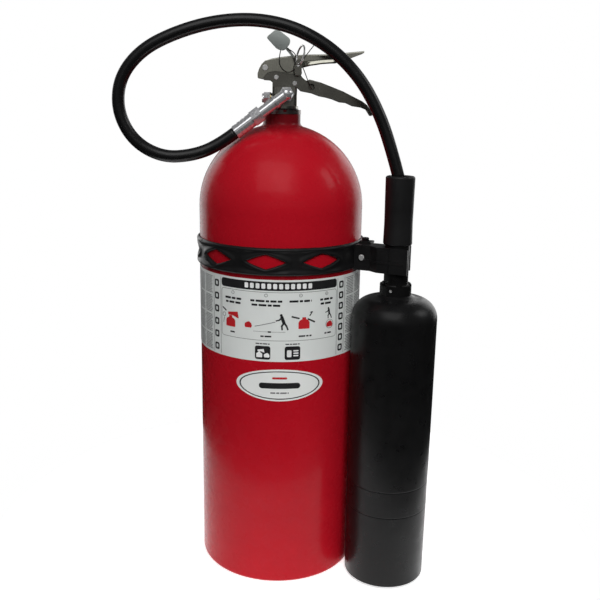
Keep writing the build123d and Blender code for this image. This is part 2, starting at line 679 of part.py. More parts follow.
horn_end_z = HORN_Z[1] - 4  # where the shoulder's arc ends, below the collar
shoulder_z = horn_end_z - HORN_SHOULDER
shoulder_r = HORN_TOP_R - HORN_SHOULDER
with BuildPart() as horn:
    with BuildSketch(horn_section):
        with BuildLine():
            Line((HORN_MOUTH_R - HORN_WALL, HORN_Z[0]), (HORN_MOUTH_R, HORN_Z[0]))
            Polyline(
                (HORN_MOUTH_R, HORN_Z[0]), (HORN_MOUTH_R + 0.2, HORN_STEPS[0]),
                (HORN_MOUTH_R + 0.6, HORN_STEPS[0]), (HORN_MOUTH_R + 0.7, HORN_STEPS[1]),
                (HORN_MOUTH_R + 0.9, HORN_STEPS[1]), (HORN_TOP_R, shoulder_z),
            )
            RadiusArc((HORN_TOP_R, shoulder_z), (shoulder_r, horn_end_z), -HORN_SHOULDER)
            Polyline(
                (shoulder_r, horn_end_z), (COLLAR_R, HORN_Z[1]), (HORN_BORE_R, HORN_Z[1]),
                (HORN_BORE_R, HORN_Z[1] - 10), (shoulder_r - 2, horn_end_z - 4),
            )
            RadiusArc((shoulder_r - 2, horn_end_z - 4), (HORN_TOP_R - HORN_WALL, shoulder_z), 24)
            Line((HORN_TOP_R - HORN_WALL, shoulder_z), (HORN_MOUTH_R - HORN_WALL, HORN_Z[0]))
        make_face()
    revolve(axis=Axis(horn_axis, (0, 0, 1)))
save(horn, "horn")

with BuildPart() as horn_orifice:
    with BuildSketch(on_horn(ORIFICE_Z)):
        Circle(9)
    extrude(amount=8.5)
    with BuildSketch(on_horn(ORIFICE_Z)):
        Circle(HORN_BORE_R - 0.1)
    extrude(amount=18)
    with BuildSketch(on_horn(ORIFICE_Z)):
        Circle(2)
    extrude(amount=20, mode=Mode.SUBTRACT)
    jets = horn_axis + Vector(0, 0, ORIFICE_Z + 4)
    for across in (horn_dir, side_dir):
        with BuildSketch(Plane(origin=jets, x_dir=(0, 0, 1), z_dir=across)):
            Circle(1.3)
        extrude(amount=12, both=True, mode=Mode.SUBTRACT)
save(horn_orifice, "horn_orifice")

# Band, arm and clip -------------------------------------------------------------------------------
band_mid = sum(BAND_Z) / 2
with BuildPart() as clamp_band:
    with BuildSketch(Plane.XY.offset(BAND_Z[0])):
        Circle(BAND_R)
        Circle(CYLINDER_R, mode=Mode.SUBTRACT)
    extrude(amount=BAND_Z[1] - BAND_Z[0])
    for index in range(WINDOW_COUNT):
        turn = radians(WINDOW_FIRST - WINDOW_PITCH * index)
        outward = Vector(sin(turn), -cos(turn), 0)
        middle = outward * (CYLINDER_R - WALL) + Vector(0, 0, band_mid)
        with BuildSketch(Plane(origin=middle, x_dir=(cos(turn), sin(turn), 0), z_dir=outward)) as window:
            half_width, half_height = WINDOW_HALF
            Polygon((-half_width, 0), (0, half_height), (half_width, 0), (0, -half_height), align=None)
            fillet(window.vertices().group_by(Axis.X)[1], 6)
        extrude(amount=2 * WALL, mode=Mode.SUBTRACT)
    with BuildSketch(on_arm(BAND_Z[0])):
        with Locations((CYLINDER_R, 0)):
            Rectangle(16, 3)
    extrude(amount=BAND_Z[1] - BAND_Z[0], mode=Mode.SUBTRACT)
save(clamp_band, "clamp_band")

CLIP_OUTER = CLIP_INNER + CLIP_WALL
CLIP_BACK = HORN_DISTANCE - CLIP_OUTER
ARM_END = CLIP_BACK + 2.5
with BuildPart() as clip_arm:
    with BuildSketch(on_arm(CLIP_Z[0])):
        with Locations(((BAND_R + ARM_END) / 2 - 3, 0)):
            Rectangle(ARM_END - BAND_R + 6, 2 * ARM_HALF)
        Polygon(
            (ARM_JOG[0], 0), (ARM_JOG[0], -ARM_HALF), (ARM_JOG[1], -CLIP_OUTER),
            (HORN_DISTANCE - ARM_MEETS_CLIP, -CLIP_OUTER), (HORN_DISTANCE - ARM_MEETS_CLIP, -ARM_HALF),
            (ARM_END, 0), align=None,
        )
        Circle(BAND_R, mode=Mode.SUBTRACT)
        with Locations((HORN_DISTANCE, 0)):
            Circle(CLIP_OUTER, mode=Mode.SUBTRACT)
    extrude(amount=CLIP_Z[1] - CLIP_Z[0])
    with BuildSketch(on_arm(CLIP_Z[0])):
        with Locations((124, 0)):
            RectangleRounded(15, 2 * ARM_HALF - 5, 2)
    extrude(amount=CLIP_Z[1] - CLIP_Z[0] - 3, mode=Mode.SUBTRACT)
    with BuildSketch(on_arm(RIB_Z[0])):
        Polygon(
            (RIB_ENDS[0], 1 - ARM_HALF), (RIB_ENDS[0], -ARM_HALF - RIB_RISE),
            (ARM_JOG[0], -ARM_HALF - RIB_RISE), (ARM_JOG[1], -CLIP_OUTER - RIB_RISE),
            (HORN_DISTANCE - ARM_MEETS_CLIP, -CLIP_OUTER - RIB_RISE),
            (HORN_DISTANCE - ARM_MEETS_CLIP, -CLIP_OUTER), (ARM_JOG[1], -CLIP_OUTER),
            (ARM_JOG[0], 1 - ARM_HALF), align=None,
        )
    extrude(amount=RIB_Z[1] - RIB_Z[0])
    with BuildSketch(on_arm(CLIP_Z[1])):
        with Locations((112.5, 8.5)):
            Rectangle(15, 13)
        Circle(BAND_R, mode=Mode.SUBTRACT)
    extrude(amount=FLANGE)
    with BuildSketch(on_arm(CLIP_Z[0] - 1)):
        with Locations(ARM_BOLT):
            Circle(ARM_BOLT_R)
    extrude(amount=40, mode=Mode.SUBTRACT)
    with BuildSketch(facing_side(ARM_SCREW[0], 0, ARM_SCREW[1])):
        Circle(ARM_SCREW_R)
    extrude(amount=20, mode=Mode.SUBTRACT)
save(clip_arm, "clip_arm")

with BuildPart() as horn_clip:
    with BuildSketch(on_arm(CLIP_Z[0])):
        with Locations((HORN_DISTANCE, 0)):
            Circle(CLIP_OUTER)
        for reach, side in zip(CLIP_REACH, (-1, 1)):
            with Locations((HORN_DISTANCE + reach / 2, side * CLIP_OUTER / 2)):
                Rectangle(reach, CLIP_OUTER)
        with Locations((HORN_DISTANCE, 0)):
            Circle(CLIP_INNER, mode=Mode.SUBTRACT)
        with Locations((HORN_DISTANCE + CLIP_INNER, 0)):
            Rectangle(2 * CLIP_INNER, 2 * CLIP_INNER, mode=Mode.SUBTRACT)
    extrude(amount=CLIP_Z[1] - CLIP_Z[0])
    with BuildSketch(facing_side(CLIP_RIVET[0], 0, CLIP_RIVET[1])):
        Circle(CLIP_RIVET_R)
    extrude(amount=-30, mode=Mode.SUBTRACT)
    with BuildSketch(on_arm(RIB_Z[0])):
        rib_start = HORN_DISTANCE - ARM_MEETS_CLIP
        Polygon(
            (rib_start, -CLIP_OUTER), (rib_start, -CLIP_OUTER - RIB_RISE),
            (RIB_ENDS[1], -CLIP_OUTER - RIB_RISE), (RIB_ENDS[1], -CLIP_OUTER),
            (HORN_DISTANCE, 0.5 - CLIP_OUTER), align=None,
        )
    extrude(amount=RIB_Z[1] - RIB_Z[0])
save(horn_clip, "horn_clip")

with BuildPart() as clip_rivet:
    with BuildSketch(facing_side(CLIP_RIVET[0], -CLIP_INNER, CLIP_RIVET[1])):
        Circle(CLIP_RIVET_R)
    extrude(amount=-CLIP_WALL)
    with BuildSketch(facing_side(CLIP_RIVET[0], -CLIP_INNER - CLIP_WALL, CLIP_RIVET[1])):
        Circle(2.6)
    extrude(amount=-2.6)
    fillet(clip_rivet.edges().sort_by(Axis(horn_axis, -side_dir))[-1], 1)
save(clip_rivet, "clip_rivet")

with BuildPart() as arm_bolt:
    with BuildSketch(on_arm(CLIP_Z[0] - ARM_NUT)):
        with Locations(ARM_BOLT):
            Circle(ARM_BOLT_R)
    extrude(amount=CLIP_Z[1] - CLIP_Z[0] + ARM_NUT + FLANGE)
    with BuildSketch(on_arm(CLIP_Z[1] + FLANGE)):
        with Locations(ARM_BOLT):
            RegularPolygon(4.6, 6)
    extrude(amount=4)
    fillet(arm_bolt.faces().sort_by(Axis.Z)[-1].edges(), 0.8)
save(arm_bolt, "arm_bolt")

with BuildPart() as arm_nut:
    with BuildSketch(on_arm(CLIP_Z[0] - ARM_NUT)):
        with Locations(ARM_BOLT):
            RegularPolygon(4.6, 6)
            Circle(ARM_BOLT_R, mode=Mode.SUBTRACT)
    extrude(amount=ARM_NUT)
save(arm_nut, "arm_nut")

with BuildPart() as arm_screw:
    with BuildSketch(facing_side(ARM_SCREW[0], 2, ARM_SCREW[1])):
        Circle(ARM_SCREW_R)
    extrude(amount=ARM_HALF - 2)
    with BuildSketch(facing_side(ARM_SCREW[0], ARM_HALF, ARM_SCREW[1])):
        Circle(3.6)
    extrude(amount=1.8)
    fillet(arm_screw.edges().sort_by(Axis((0, 0, 0), side_dir))[-1], 1.2)
    with BuildSketch(facing_side(ARM_SCREW[0], ARM_HALF + 0.9, ARM_SCREW[1])):
        Rectangle(1, 9, rotation=-40)
    extrude(amount=3, mode=Mode.SUBTRACT)
save(arm_screw, "arm_screw")

# Label and badge: thin skins on the cylinder -------------------------------------------------------
label_end = radians(-90 - LABEL_SPREAD)
outward = Vector(cos(label_end), sin(label_end), 0)
with BuildPart() as instruction_label:
    with BuildSketch(Plane(origin=(0, 0, 0), x_dir=outward, z_dir=outward.cross(Vector(0, 0, 1)))):
        with Locations((CYLINDER_R + SKIN / 2, sum(LABEL_Z) / 2)):
            Rectangle(SKIN, LABEL_Z[1] - LABEL_Z[0])
    revolve(axis=Axis.Z, revolution_arc=2 * LABEL_SPREAD)
save(instruction_label, "instruction_label")

with BuildPart() as plain_badge:
    with BuildSketch(Plane.XZ.offset(CYLINDER_R - 30)):
        with Locations((0, BADGE_Z)):
            Ellipse(BADGE_SIZE[0] / 2, BADGE_SIZE[1] / 2)
    extrude(amount=40)
    with BuildSketch(Plane.XY.offset(BADGE_Z - BADGE_SIZE[1])):
        Circle(CYLINDER_R + SKIN)
        Circle(CYLINDER_R, mode=Mode.SUBTRACT)
    extrude(amount=2 * BADGE_SIZE[1], mode=Mode.INTERSECT)
save(plain_badge, "plain_badge")
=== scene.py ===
"""Looks of a portable carbon dioxide extinguisher: red cylinder, valve, looped hose and horn.

Metres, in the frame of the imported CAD: +Z up, -Y the front, origin at the centre of the base.
"""

import json
from math import atan2, cos, pi, radians, sin

import bmesh
import bpy
from mathutils import Matrix, Vector


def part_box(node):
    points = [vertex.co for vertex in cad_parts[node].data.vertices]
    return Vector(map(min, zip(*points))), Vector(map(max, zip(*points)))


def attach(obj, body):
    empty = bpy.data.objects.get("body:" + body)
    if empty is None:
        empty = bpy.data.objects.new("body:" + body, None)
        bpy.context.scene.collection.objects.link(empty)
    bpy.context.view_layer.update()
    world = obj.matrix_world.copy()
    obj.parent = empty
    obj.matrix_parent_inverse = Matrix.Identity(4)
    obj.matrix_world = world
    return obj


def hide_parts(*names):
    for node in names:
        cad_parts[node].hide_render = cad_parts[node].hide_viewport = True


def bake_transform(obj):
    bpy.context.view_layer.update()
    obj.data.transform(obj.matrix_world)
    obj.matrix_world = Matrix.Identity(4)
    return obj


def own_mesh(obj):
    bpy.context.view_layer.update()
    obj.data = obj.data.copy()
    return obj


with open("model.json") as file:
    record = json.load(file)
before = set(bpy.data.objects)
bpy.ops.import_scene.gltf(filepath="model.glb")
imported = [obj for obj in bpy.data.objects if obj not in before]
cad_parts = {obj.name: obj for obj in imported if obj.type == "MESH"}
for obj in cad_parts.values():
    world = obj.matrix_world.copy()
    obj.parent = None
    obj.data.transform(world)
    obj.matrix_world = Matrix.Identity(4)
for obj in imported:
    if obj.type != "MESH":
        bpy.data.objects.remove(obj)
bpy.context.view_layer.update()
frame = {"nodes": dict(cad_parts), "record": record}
nodes = frame["nodes"]

MM = 0.001
CYLINDER_R = 101.6 * MM
LABEL_R = 101.9 * MM
HOSE_DIAMETER = 14.5 * MM
HORN_AXIS = Vector((0.1385, -0.068, 0))

# The hose's route, from the ferrule over the valve to the grip.
HOSE_ROUTE = [
    (-0.0545, -0.04, 0.5578),
    (-0.0755, -0.04, 0.542),
    (-0.105, -0.042, 0.5305),
    (-0.141, -0.0435, 0.528),
    (-0.174, -0.045, 0.5464),
    (-0.191, -0.045, 0.58),
    (-0.187, -0.046, 0.6175),
    (-0.161, -0.047, 0.6485),
    (-0.121, -0.049, 0.668),
    (-0.076, -0.051, 0.6805),
    (-0.03, -0.053, 0.6835),
    (0.014, -0.055, 0.675),
    (0.055, -0.057, 0.6535),
    (0.088, -0.06, 0.622),
    (0.1105, -0.063, 0.5845),
    (0.126, -0.066, 0.545),
    (0.137, -0.068, 0.508),
]


# Camera -------------------------------------------------------------------------------------------
CAMERA_PLACE = (-0.0039, -0.98571, 0.58873)
CAMERA_TURN = (13.857, 1.724, 0.932)  # pitch down, yaw right and roll, in degrees
SENSOR_WIDTH = 36
FOCAL_LENGTH = 47.09


def make_camera():
    """The photograph's view: from in front, looking a little down at the label."""
    pitch, yaw, roll = (radians(angle) for angle in CAMERA_TURN)
    ahead = Vector((sin(yaw) * cos(pitch), cos(yaw) * cos(pitch), -sin(pitch)))
    right = Vector((cos(yaw), -sin(yaw), 0))
    up = right.cross(ahead)
    image_right = right * cos(roll) + up * sin(roll)
    image_up = up * cos(roll) - right * sin(roll)
    data = bpy.data.cameras.new("camera")
    data.sensor_width = SENSOR_WIDTH
    data.lens = FOCAL_LENGTH
    camera = bpy.data.objects.new("camera", data)
    turn = Matrix((image_right, image_up, -ahead)).transposed().to_4x4()
    camera.matrix_world = Matrix.Translation(CAMERA_PLACE) @ turn
    bpy.context.scene.collection.objects.link(camera)
    bpy.context.scene.camera = camera


# Mesh helpers -------------------------------------------------------------------------------------
def new_object(name, points, faces, smooth=True):
    """A mesh object from points and faces, smooth shaded unless told otherwise."""
    mesh = bpy.data.meshes.new(name)
    mesh.from_pydata([tuple(p) for p in points], [], faces)
    mesh.update()
    for polygon in mesh.polygons:
        polygon.use_smooth = smooth
    made = bpy.data.objects.new(name, mesh)
    bpy.context.scene.collection.objects.link(made)
    return made


def spline_points(route):
    """Points along the NURBS spline that has the route as its control points."""
    curve = bpy.data.curves.new("route", "CURVE")
    curve.dimensions = "3D"
    curve.resolution_u = 12
    spline = curve.splines.new("NURBS")
    spline.points.add(len(route) - 1)
    for point, place in zip(spline.points, route):
        point.co = (*place, 1)
    spline.order_u = 3
    spline.use_endpoint_u = True
    holder = bpy.data.objects.new("route", curve)
    bpy.context.scene.collection.objects.link(holder)
    bpy.context.view_layer.update()
    mesh = bpy.data.meshes.new_from_object(holder)
    places = [v.co.copy() for v in mesh.vertices]
    bpy.data.objects.remove(holder)
    bpy.data.meshes.remove(mesh)
    bpy.data.curves.remove(curve)
    return places


def tube(name, path, radius, around):
    """A closed tube along a path, with frames that don't twist."""
    points, faces = [], []
    side = Vector((0, 1, 0))
    for index, place in enumerate(path):
        ahead = path[min(index + 1, len(path) - 1)] - path[max(index - 1, 0)]
        ahead.normalize()
        side = (side - ahead * side.dot(ahead)).normalized()
        other = ahead.cross(side)
        for step in range(around):
            angle = 2 * pi * step / around
            points.append(place + (side * cos(angle) + other * sin(angle)) * radius)
    for ring in range(len(path) - 1):
        for step in range(around):
            a, b = ring * around + step, ring * around + (step + 1) % around
            faces.append((a, b, b + around, a + around))
    last = (len(path) - 1) * around
    faces.append(tuple(range(around))[::-1])
    faces.append(tuple(range(last, last + around)))
    return new_object(name, points, faces)


# Hose ---------------------------------------------------------------------------------------------
def make_hose():
    """The black rubber hose, a closed tube along its route from the ferrule over the valve to the grip."""
    path = spline_points(HOSE_ROUTE)
    hose = tube("hose_tube", path, HOSE_DIAMETER / 2, around=40)
    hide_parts("hose")
    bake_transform(hose)
    return hose


make_camera()
hose = make_hose()


# Pieces on the cylinder ---------------------------------------------------------------------------
def on_cylinder(arc, z, radius):
    """The place at an arc length from the front and a height, both in mm, at that radius in metres."""
    turn = arc * MM / CYLINDER_R
    return Vector((radius * sin(turn), -radius * cos(turn), z * MM))


FILM_SINK = 0.05  # how far a film's underside lies inside the label, in mm
LONGEST_CHORD = 4  # mm along the arc, before an edge is split so that it follows the curve
SPLIT_ROUNDS = 6


def printed(name, outlines, lift):
    """Flat outlines in arc and height (mm), wrapped on the label as thin solid films."""
    bottom, top = LABEL_R - FILM_SINK * MM, LABEL_R + lift * MM
    mesh = bmesh.new()
    for outline in outlines:
        ring = [mesh.verts.new((x, z, 0)) for x, z in outline]
        mesh.faces.new(ring)
    bmesh.ops.triangulate(mesh, faces=mesh.faces[:])
    for _ in range(SPLIT_ROUNDS):
        long_edges = [e for e in mesh.edges if abs(e.verts[0].co.x - e.verts[1].co.x) > LONGEST_CHORD]
        if not long_edges:
            break
        bmesh.ops.subdivide_edges(mesh, edges=long_edges, cuts=1)
        bmesh.ops.triangulate(mesh, faces=[f for f in mesh.faces if len(f.verts) > 3])
    for face in mesh.faces:
        if face.normal.z < 0:
            face.normal_flip()
    made = bmesh.ops.extrude_face_region(mesh, geom=mesh.faces[:])
    raised = {v for v in made["geom"] if isinstance(v, bmesh.types.BMVert)}
    for vert in mesh.verts:
        vert.co = on_cylinder(vert.co.x, vert.co.y, top if vert in raised else bottom)
    bmesh.ops.recalc_face_normals(mesh, faces=mesh.faces[:])
    data = bpy.data.meshes.new(name)
    mesh.to_mesh(data)
    mesh.free()
    film = bpy.data.objects.new(name, data)
    bpy.context.scene.collection.objects.link(film)
    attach(film, "base")
    return film


def disc(x, z, radius, count=20):
    """A round outline, as a polygon of that many corners."""
    angles = [2 * pi * i / count for i in range(count)]
    return [(x + radius * cos(angle), z + radius * sin(angle)) for angle in angles]


def ellipse(x, z, half_width, half_height):
    """An oval outline about its middle."""
    return [(x + half_width * u, z + half_height * v) for u, v in disc(0, 0, 1, 72)]


def band_between(outer, inner):
    """The area between two loops with equally many points."""
    return [[outer[i - 1], outer[i], inner[i], inner[i - 1]] for i in range(len(outer))]


def ring(x, z, radius, width, count=20):
    """A round line of that width, inside its radius."""
    return band_between(disc(x, z, radius, count), disc(x, z, radius - width, count))


CORNER_STEPS = 4


def box(x, z, width, height, corner=0.0, turn=0.0):
    """A rectangle about its middle, with rounded corners, turned by degrees."""
    points = []
    corner = min(corner, width / 2 - 0.01, height / 2 - 0.01)
    for quarter, (u, v) in enumerate(((1, 1), (-1, 1), (-1, -1), (1, -1))):
        centre = (u * (width / 2 - corner), v * (height / 2 - corner))
        if corner <= 0:
            points.append(centre)
            continue
        for step in range(CORNER_STEPS + 1):
            angle = pi / 2 * (quarter + step / CORNER_STEPS)
            points.append((centre[0] + corner * cos(angle), centre[1] + corner * sin(angle)))
    c, t = cos(radians(turn)), sin(radians(turn))
    return [(x + px * c - pz * t, z + px * t + pz * c) for px, pz in points]


def stroke(start, end, width, round_end=True):
    """A straight bar from one point to another."""
    length = ((end[0] - start[0]) ** 2 + (end[1] - start[1]) ** 2) ** 0.5
    turn = atan2(end[1] - start[1], end[0] - start[0]) * 180 / pi
    middle = ((start[0] + end[0]) / 2, (start[1] + end[1]) / 2)
    return box(*middle, length + width, width, width / 2 if round_end else 0, turn)


WORDS = (3.4, 2.1, 4.3, 1.6, 2.9, 3.8, 1.9)  # lengths of the blocks, in heights of the row


def words(x, z, width, height, start=0):
    """One row of plain blocks, as long and short words would lie, centred on x."""
    blocks, at, index = [], x - width / 2, start
    while at < x + width / 2 - 0.6:
        length = min(WORDS[index % len(WORDS)] * height, x + width / 2 - at)
        blocks.append(box(at + length / 2, z, length, height, height * 0.25))
        at += length + height * 0.55
        index += 1
    return blocks


def moved(outlines, x, z, scale):
    """Outlines enlarged by a scale in mm, with their origin put at a place."""
    return [[(x + scale * u, z + scale * v) for u, v in outline] for outline in outlines]


# Pictures on the label: an extinguisher, a flame and a standing figure, in units of their height ----
BOTTLE = [
    [(-0.34, 0), (0.34, 0), (0.36, 0.04), (0.36, 0.42), (0.28, 0.54), (0.12, 0.62), (0.12, 0.74),
     (-0.12, 0.74), (-0.12, 0.62), (-0.28, 0.54), (-0.36, 0.42), (-0.36, 0.04)],
    [(-0.2, 0.76), (0.16, 0.76), (0.6, 0.60), (0.62, 0.66), (0.2, 0.86), (0.56, 0.98), (0.54, 1.04),
     (-0.2, 0.94)],
]
FLAME = [
    [(-0.5, 0), (0.5, 0), (0.62, 0.34), (0.46, 0.74), (0.36, 0.46), (0.16, 1.0), (-0.06, 0.5),
     (-0.26, 0.86), (-0.36, 0.44), (-0.56, 0.66), (-0.62, 0.26)],
]


def print_films(films):
    """Films of one sheet: each a name, its outlines, its thickness in mm and its ink."""
    for name, outlines, lift, ink_name in films:
        film = printed(name, outlines, lift)
        film.data.materials.append(MATERIALS[ink_name])


def figure(lean):
    """A standing person of bars and a disc, leaning to -X by that much, with both arms held out."""
    hip, shoulder = (0, 0.46), (-lean, 0.8)
    return [
        disc(shoulder[0] - 0.04, 0.93, 0.085, 14),
        stroke(hip, shoulder, 0.2),
        stroke((0.02, 0.46), (-0.12, 0.24), 0.12),
        stroke((-0.12, 0.24), (-0.1, 0.03), 0.1),
        stroke((0.02, 0.46), (0.17, 0.24), 0.12),
        stroke((0.17, 0.24), (0.25, 0.03), 0.1),
        stroke(shoulder, (shoulder[0] - 0.16, 0.62), 0.09),
        stroke((shoulder[0] - 0.16, 0.62), (shoulder[0] - 0.34, 0.58), 0.08),
    ]


LABEL_TOP, LABEL_FLOOR = 393.8, 294.8
PANEL = (-76.6, 72.7)
COLUMNS = ((-85.5, 6), (81.0, 7))
STEPS_X = (-59.0, -16.8, 24.0, 57.5)
HEADER_Z = 386.2
RULE_Z = 320.5
COLUMN_Z = (383, 304.5)  # first and last block of the side columns
COLUMN_LINES_X = (-91.1, -78.2, 74.4, 87.6)
STEP_NUMBER_Z = 375.3
STEP_WIDTHS = (23, 38, 27, 18)
SMALL_PRINT_TOP = 389.5
SMALL_PRINT_ROWS = 46
SMALL_PRINT_PITCH = 2.02


def make_label_print():
    """The printed side of the instruction label: plain blocks for its words, and simple pictures."""
    middle, width = sum(PANEL) / 2, PANEL[1] - PANEL[0]
    black = [box(middle, HEADER_Z, width, 10.4, 3.4)]
    white = [box(middle - 0.8 + 6.9 * (i - 5.5), HEADER_Z, 4.6, 6.2, 1.2) for i in range(12)]
    for x, count in COLUMNS:
        for index in range(count):
            z = COLUMN_Z[0] - (COLUMN_Z[0] - COLUMN_Z[1]) * index / (count - 1)
            black.extend(band_between(box(x, z, 8.0, 8.6, 2.0), box(x, z, 3.6, 4.4, 0.8)))
    grey = [stroke((x, LABEL_TOP - 3), (x, LABEL_FLOOR + 2), 0.5, False) for x in COLUMN_LINES_X]
    panel_z = (RULE_Z + HEADER_Z - 7) / 2
    frame_size = (width, HEADER_Z - 7 - RULE_Z)
    grey.extend(band_between(
        box(middle, panel_z, *frame_size, 3.4),
        box(middle, panel_z, frame_size[0] - 1, frame_size[1] - 1, 2.9),
    ))
    for index, (x, wide) in enumerate(zip(STEPS_X, STEP_WIDTHS)):
        grey.extend(ring(x, STEP_NUMBER_Z, 2.1, 0.45))
        for dot in range(index + 1):
            turn = 2 * pi * dot / (index + 1)
            reach = 0.85 if index else 0
            black.append(disc(x + reach * sin(turn), STEP_NUMBER_Z + reach * cos(turn), 0.34, 10))
        black.extend(words(x, 368.4, wide, 2.5, index))
        if index != 2:
            black.extend(words(x, 363.4, wide * 0.92, 2.5, index + 3))
    black.extend(words(-59, 327, 8, 1.9))
    black.extend(words(-16.8, 325.8, 13, 1.9, 1))
    black.extend(words(30, 326, 16, 1.9, 2))
    black.extend(words(61, 326.6, 11, 1.9, 3))
    red = moved(BOTTLE, -62.5, 333.2, 18.5)
    black.append(stroke((-69.5, 352), (-74.5, 355), 1.6))
    grey.extend(ring(-72.5, 346.8, 2.6, 0.6))
    black.append(stroke((-72.5, 343), (-73.5, 337), 0.7))
    red += moved(FLAME, -38.4, 335.2, 7.6)
    black += moved(figure(0.12), 4.2, 334.2, 19)
    grey.append(stroke((-30, 337.4), (-6, 343.6), 0.8))
    grey.append(stroke((-32, 331.4), (6, 331.4), 0.4))
    black.extend(words(-12, 331.4, 5, 1.8, 1))
    red += moved([BOTTLE[0]], 28.4, 334.8, 19)
    black += [
        stroke((22, 347.8), (14, 350), 1.9),
        stroke((33.5, 346.4), (41.5, 342.4), 1.9),
        stroke((35.5, 350.4), (38.5, 355), 1.3),
        stroke((38.5, 355), (36, 354.4), 1.0),
    ]
    black += moved(figure(0.05), 61.8, 344.4, 13.5)
    red += moved(FLAME, 62.6, 334, 7.4)
    grey.extend(ring(62.6, 337.4, 5.6, 0.5, 24))
    for x in (-20.6, 14.9):
        black.append(box(x, 305.6, 18.6, 16.6, 2.6))
        black.extend(words(x, 316.6, 17, 1.3))
    white += moved(BOTTLE, -24.6, 299.8, 10)
    white += moved(FLAME, -15.6, 300, 5.6)
    white.append(box(11, 305, 5.4, 8.6, 1.4))
    white += [box(19, z, 6.2, 1.6, 0.7) for z in (305.4, 302.4, 308.4)]
    fine = []
    for side in (-1, 1):
        start = 94.2 if side < 0 else 90.4
        for row in range(SMALL_PRINT_ROWS):
            z = SMALL_PRINT_TOP - SMALL_PRINT_PITCH * row
            if row % 12 == 11:
                continue
            for column in range(3):
                x = start + 9.4 + 20.6 * column
                fine.extend(words(side * x, z, 18.4 - (row * 7 + column * 3) % 5, 1.0, row + column))
    print_films((
        ("label_print_black", black, 0.06, "ink_black"),
        ("label_print_white", white, 0.1, "ink_white"),
        ("label_print_red", red, 0.08, "ink_red"),
        ("label_print_lines", grey, 0.05, "ink_grey"),
        ("label_print_small", fine, 0.05, "ink_grey"),
    ))


ARC_OVER_CHORD = 1.045  # the badge's width along the cylinder, over its width seen from in front


def make_badge_print():
    """A keyline round the plain oval badge, with plain bars in it."""
    low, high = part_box("plain_badge")
    z = (low[2] + high[2]) / 2 / MM
    half = [(high[i] - low[i]) / 2 / MM for i in (0, 2)]
    wide = half[0] * ARC_OVER_CHORD
    black = band_between(ellipse(0, z, wide - 4.2, half[1] - 2.2), ellipse(0, z, wide - 6.0, half[1] - 3.4))
    black += [box(0, z - 0.6, 50, 7.2, 3.6)]
    red = [box(0, z + 9, 18, 2.6, 1.3)]
    grey = words(0, z - 9.6, 22, 1.8)
    print_films((
        ("badge_print_black", black, 0.06, "ink_black"),
        ("badge_print_red", red, 0.06, "ink_red"),
        ("badge_print_lines", grey, 0.06, "ink_grey"),
    ))


# Clamp band ---------------------------------------------------------------------------------------
BAND_MID = 414.75
BAND_HALF = 16.25
PITCH = 37.6
FIRST = 27.8
WINDOWS = 8
WINDOW_HALF = (23.6, 8.4)
WINDOW_POWER = 1.12  # 1 is a plain diamond; more rounds its corners
BAND_BACK = 0.12  # clearance over the cylinder
BAND_FACE = 1.9  # height of the flat between the cords
RIM_CORD = (1.7, 2.6, 4.2)  # rise, distance in from the edge, and reach
WINDOW_CORD = (1.5, 2.4, 4.6)
EDGE_RISE = 0.25  # share of the height that stands at an edge, before it rounds up
CELL_SHARES = (0, 0.03, 0.08, 0.15, 0.24, 0.35, 0.48, 0.62, 0.76, 0.87, 0.94, 0.98, 1)
SIDE_POINTS, RIM_POINTS = 14, 26
JOINT_STEPS = 30  # round the plain stretch between the last window and the first
WELD = 0.02


def band_cell():
    """Points of one cell round a window, as rings from the window's edge out to the cell's edge."""
    side, half = radians(PITCH / 2) * CYLINDER_R / MM, BAND_HALF
    edge = []
    for i in range(SIDE_POINTS):
        edge.append((side, -half + 2 * half * i / SIDE_POINTS))
    for i in range(RIM_POINTS):
        edge.append((side - 2 * side * i / RIM_POINTS, half))
    for i in range(SIDE_POINTS):
        edge.append((-side, half - 2 * half * i / SIDE_POINTS))
    for i in range(RIM_POINTS):
        edge.append((-side + 2 * side * i / RIM_POINTS, -half))
    window = []
    for x, z in edge:
        across, along = abs(x) / WINDOW_HALF[0], abs(z) / WINDOW_HALF[1]
        reach = (across**WINDOW_POWER + along**WINDOW_POWER) ** (1 / WINDOW_POWER)
        window.append((x / reach, z / reach))
    rings = []
    for share in CELL_SHARES:
        rings.append([
            (wx + (ex - wx) * share, wz + (ez - wz) * share) for (wx, wz), (ex, ez) in zip(window, edge)
        ])
    return rings, window


def bump(distance, middle, reach):
    """A smooth hill, 1 at the middle and 0 from that reach outwards."""
    share = max(0.0, 1 - abs(distance - middle) / reach)
    return share * share * (3 - 2 * share)


def rounded_rise(distance, radius):
    """A quarter round, 0 at the edge and 1 from that radius inwards."""
    share = max(0.0, 1 - distance / radius)
    return (1 - share * share) ** 0.5


def band_height(x, z, window):
    """How far the band's face stands out there, in mm: cords along its rims and round each window."""
    rim = BAND_HALF - abs(z)
    rise = BAND_FACE + RIM_CORD[0] * bump(rim, *RIM_CORD[1:])
    if window:
        gap = min((x - wx) ** 2 + (z - wz) ** 2 for wx, wz in window) ** 0.5
        rise = max(rise, BAND_FACE + WINDOW_CORD[0] * bump(gap, *WINDOW_CORD[1:]))
        rise *= EDGE_RISE + (1 - EDGE_RISE) * rounded_rise(gap, 1.6)
    return rise * (EDGE_RISE + (1 - EDGE_RISE) * rounded_rise(rim, 2.2))


